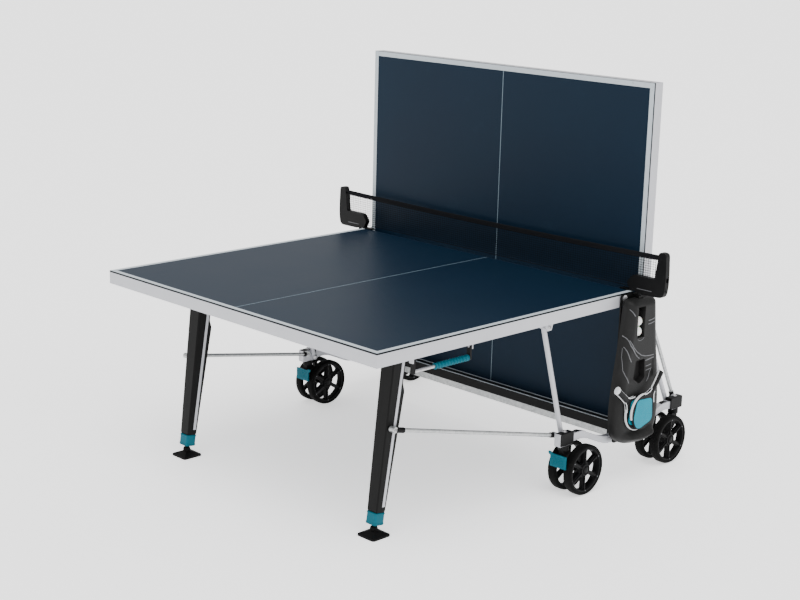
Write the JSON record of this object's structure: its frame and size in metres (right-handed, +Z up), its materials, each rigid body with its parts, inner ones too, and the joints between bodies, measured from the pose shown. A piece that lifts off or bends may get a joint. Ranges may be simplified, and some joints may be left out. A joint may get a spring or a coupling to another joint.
{
  "type": "outdoor ping pong table",
  "caption": "Folding outdoor ping pong table on a wheeled chassis, one half down for play and the other folded up, with net, legs, handles, and bats and balls in the side cover.",
  "frame": {"origin": "on the floor, in the middle of the table's footprint as it is set up with one half folded up", "axes": "+X across the table along the net, +Y from the half that is down toward the half that is folded up, +Z up"},
  "size_m": [1.83, 1.7594, 1.556],
  "materials": {
    "blue_board": "satin laminate",
    "grey_rail": "satin paint",
    "bright_steel": "zinc-plated tube",
    "black_leg": "satin",
    "teal_plastic": "satin",
    "black_foot": "matte",
    "black_steel": "satin",
    "black_plastic": "fine grain",
    "net_fabric": "woven",
    "teal_rubber": "satin",
    "white_plastic": "satin",
    "black_tyre": "matte"
  },
  "bodies": {
    "chassis": {"chassis_arch_left": "bright_steel", "chassis_arch_right": "bright_steel", "side_upright_left": "black_steel", "side_upright_right": "black_steel", "side_cover_left": "black_plastic", "side_cover_right": "black_plastic", "net_post_left": "black_plastic", "net_post_right": "black_plastic", "crossbeam": "bright_steel", "crossbeam_cover": "black_steel", "net_mesh": "net_fabric", "net_tape": "net_fabric"},
    "net_lever": {"net_tension_lever": "black_plastic"},
    "bat_rear": {"bat_rear": "teal_rubber"},
    "bat_front": {"bat_front": "teal_rubber"},
    "ball_lower": {"ball_lower": "white_plastic"},
    "ball_upper": {"ball_upper": "white_plastic"},
    "carriage_front": {"slide_block_front_left": "bright_steel", "slide_block_front_right": "bright_steel"},
    "half_front": {"board_front": "blue_board", "frame_front": "grey_rail"},
    "legs_front": {"leg_front_left": "black_leg", "leg_front_right": "black_leg", "foot_collar_front_left": "teal_plastic", "foot_collar_front_right": "teal_plastic"},
    "struts_front": {"strut_front_left": "bright_steel", "strut_front_right": "bright_steel"},
    "ties_front": {"tie_rod_front_left": "bright_steel", "tie_rod_front_right": "bright_steel"},
    "foot_front_left": {"foot_pad_front_left": "black_foot"},
    "handle_front_left": {"handle_front_left": "teal_plastic"},
    "caster_front_left": {"caster_fork_front_left": "black_plastic"},
    "wheels_front_left": {"twin_wheel_front_left": "black_tyre"},
    "brake_front_left": {"brake_pedal_front_left": "teal_plastic"},
    "foot_front_right": {"foot_pad_front_right": "black_foot"},
    "handle_front_right": {"handle_front_right": "teal_plastic"},
    "caster_front_right": {"caster_fork_front_right": "black_plastic"},
    "wheels_front_right": {"twin_wheel_front_right": "black_tyre"},
    "brake_front_right": {"brake_pedal_front_right": "teal_plastic"},
    "carriage_rear": {"slide_block_rear_left": "bright_steel", "slide_block_rear_right": "bright_steel"},
    "half_rear": {"board_rear": "blue_board", "frame_rear": "grey_rail"},
    "legs_rear": {"leg_rear_left": "black_leg", "leg_rear_right": "black_leg", "foot_collar_rear_left": "teal_plastic", "foot_collar_rear_right": "teal_plastic"},
    "struts_rear": {"strut_rear_left": "bright_steel", "strut_rear_right": "bright_steel"},
    "ties_rear": {"tie_rod_rear_left": "bright_steel", "tie_rod_rear_right": "bright_steel"},
    "foot_rear_left": {"foot_pad_rear_left": "black_foot"},
    "caster_rear_left": {"caster_fork_rear_left": "black_plastic"},
    "wheels_rear_left": {"twin_wheel_rear_left": "black_tyre"},
    "foot_rear_right": {"foot_pad_rear_right": "black_foot"},
    "caster_rear_right": {"caster_fork_rear_right": "black_plastic"},
    "wheels_rear_right": {"twin_wheel_rear_right": "black_tyre"}
  },
  "joints": [
    {"name": "net_lever_turn", "type": "hinge", "parent": "chassis", "child": "net_lever", "pos_m": [0.908, 0.49028, 0.787], "axis": [0, 1, 0], "range_deg": [0, 20]},
    {"name": "bat_rear_lift", "type": "slide", "parent": "chassis", "child": "bat_rear", "axis": [0, 0, 1], "range_m": [0, 0.12]},
    {"name": "bat_front_lift", "type": "slide", "parent": "chassis", "child": "bat_front", "axis": [0, 0, 1], "range_m": [0, 0.12]},
    {"name": "ball_lower_out", "type": "slide", "parent": "chassis", "child": "ball_lower", "axis": [1, 0, 0], "range_m": [0, 0.05]},
    {"name": "ball_upper_out", "type": "slide", "parent": "chassis", "child": "ball_upper", "axis": [1, 0, 0], "range_m": [0, 0.05]},
    {"name": "fold_front", "type": "hinge", "parent": "carriage_front", "child": "half_front", "pos_m": [0, 0.42228, 0.742], "axis": [-1, 0, 0], "range_deg": [0, 90]},
    {"name": "carriage_slide_front", "type": "slide", "parent": "chassis", "child": "carriage_front", "axis": [0, 0, 1], "range_m": [-0.4881, 0]},
    {"name": "legs_fold_front", "type": "hinge", "parent": "half_front", "child": "legs_front", "pos_m": [0, -0.57972, 0.685], "axis": [-1, 0, 0], "range_deg": [-97.92, 0]},
    {"name": "struts_swing_front", "type": "hinge", "parent": "chassis", "child": "struts_front", "pos_m": [0, 0.15532, 0.227], "axis": [-1, 0, 0], "range_deg": [0, 43.38]},
    {"name": "ties_swing_front", "type": "hinge", "parent": "chassis", "child": "ties_front", "pos_m": [0, 0.11384, 0.244], "axis": [-1, 0, 0], "range_deg": [0, 96.41]},
    {"name": "foot_level_front_left", "type": "slide", "parent": "legs_front", "child": "foot_front_left", "axis": [0, -0.1374, -0.9905], "range_m": [0, 0.015]},
    {"name": "handle_swing_front_left", "type": "hinge", "parent": "half_front", "child": "handle_front_left", "pos_m": [-0.74, -0.51472, 0.696], "axis": [0, 1, 0], "range_deg": [-25, 25]},
    {"name": "caster_swivel_front_left", "type": "hinge", "parent": "chassis", "child": "caster_front_left", "pos_m": [-0.739, 0.13928, 0.2], "axis": [0, 0, 1], "continuous": true},
    {"name": "wheel_spin_front_left", "type": "hinge", "parent": "caster_front_left", "child": "wheels_front_left", "pos_m": [-0.739, 0.21728, 0.1], "axis": [1, 0, 0], "continuous": true},
    {"name": "brake_press_front_left", "type": "hinge", "parent": "caster_front_left", "child": "brake_front_left", "pos_m": [-0.739, 0.11928, 0.162], "axis": [-1, 0, 0], "range_deg": [0, 20]},
    {"name": "foot_level_front_right", "type": "slide", "parent": "legs_front", "child": "foot_front_right", "axis": [0, -0.1374, -0.9905], "range_m": [0, 0.015]},
    {"name": "handle_swing_front_right", "type": "hinge", "parent": "half_front", "child": "handle_front_right", "pos_m": [0.74, -0.51472, 0.696], "axis": [0, 1, 0], "range_deg": [-25, 25]},
    {"name": "caster_swivel_front_right", "type": "hinge", "parent": "chassis", "child": "caster_front_right", "pos_m": [0.739, 0.13928, 0.2], "axis": [0, 0, 1], "continuous": true},
    {"name": "wheel_spin_front_right", "type": "hinge", "parent": "caster_front_right", "child": "wheels_front_right", "pos_m": [0.739, 0.21728, 0.1], "axis": [1, 0, 0], "continuous": true},
    {"name": "brake_press_front_right", "type": "hinge", "parent": "caster_front_right", "child": "brake_front_right", "pos_m": [0.739, 0.11928, 0.162], "axis": [-1, 0, 0], "range_deg": [0, 20]},
    {"name": "fold_rear", "type": "hinge", "parent": "carriage_rear", "child": "half_rear", "pos_m": [0, 0.55828, 0.254], "axis": [1, 0, 0], "range_deg": [-90, 0]},
    {"name": "carriage_slide_rear", "type": "slide", "parent": "chassis", "child": "carriage_rear", "axis": [0, 0, 1], "range_m": [0, 0.4881]},
    {"name": "legs_fold_rear", "type": "hinge", "parent": "half_rear", "child": "legs_rear", "pos_m": [0, 0.61528, 1.256], "axis": [1, 0, 0], "range_deg": [0, 97.92]},
    {"name": "struts_swing_rear", "type": "hinge", "parent": "chassis", "child": "struts_rear", "pos_m": [0, 0.82524, 0.227], "axis": [1, 0, 0], "range_deg": [-43.38, 0]},
    {"name": "ties_swing_rear", "type": "hinge", "parent": "chassis", "child": "ties_rear", "pos_m": [0, 0.86672, 0.244], "axis": [1, 0, 0], "range_deg": [-96.41, 0]},
    {"name": "foot_level_rear_left", "type": "slide", "parent": "legs_rear", "child": "foot_rear_left", "axis": [0, 0, -1], "range_m": [0, 0.015]},
    {"name": "caster_swivel_rear_left", "type": "hinge", "parent": "chassis", "child": "caster_rear_left", "pos_m": [-0.739, 0.84128, 0.2], "axis": [0, 0, 1], "continuous": true},
    {"name": "wheel_spin_rear_left", "type": "hinge", "parent": "caster_rear_left", "child": "wheels_rear_left", "pos_m": [-0.739, 0.76328, 0.1], "axis": [1, 0, 0], "continuous": true},
    {"name": "foot_level_rear_right", "type": "slide", "parent": "legs_rear", "child": "foot_rear_right", "axis": [0, 0, -1], "range_m": [0, 0.015]},
    {"name": "caster_swivel_rear_right", "type": "hinge", "parent": "chassis", "child": "caster_rear_right", "pos_m": [0.739, 0.84128, 0.2], "axis": [0, 0, 1], "continuous": true},
    {"name": "wheel_spin_rear_right", "type": "hinge", "parent": "caster_rear_right", "child": "wheels_rear_right", "pos_m": [0.739, 0.76328, 0.1], "axis": [1, 0, 0], "continuous": true}
  ],
  "couplings": [
    {"joint": "carriage_slide_front", "follows": "fold_front", "m_per_rad": -0.31067},
    {"joint": "legs_fold_front", "follows": "fold_front", "ratio": -1.0878},
    {"joint": "struts_swing_front", "follows": "fold_front", "ratio": 0.48181},
    {"joint": "ties_swing_front", "follows": "fold_front", "ratio": 1.071},
    {"joint": "carriage_slide_rear", "follows": "fold_rear", "m_per_rad": -0.31067},
    {"joint": "legs_fold_rear", "follows": "fold_rear", "ratio": -1.0878},
    {"joint": "struts_swing_rear", "follows": "fold_rear", "ratio": 0.48181},
    {"joint": "ties_swing_rear", "follows": "fold_rear", "ratio": 1.071}
  ]
}
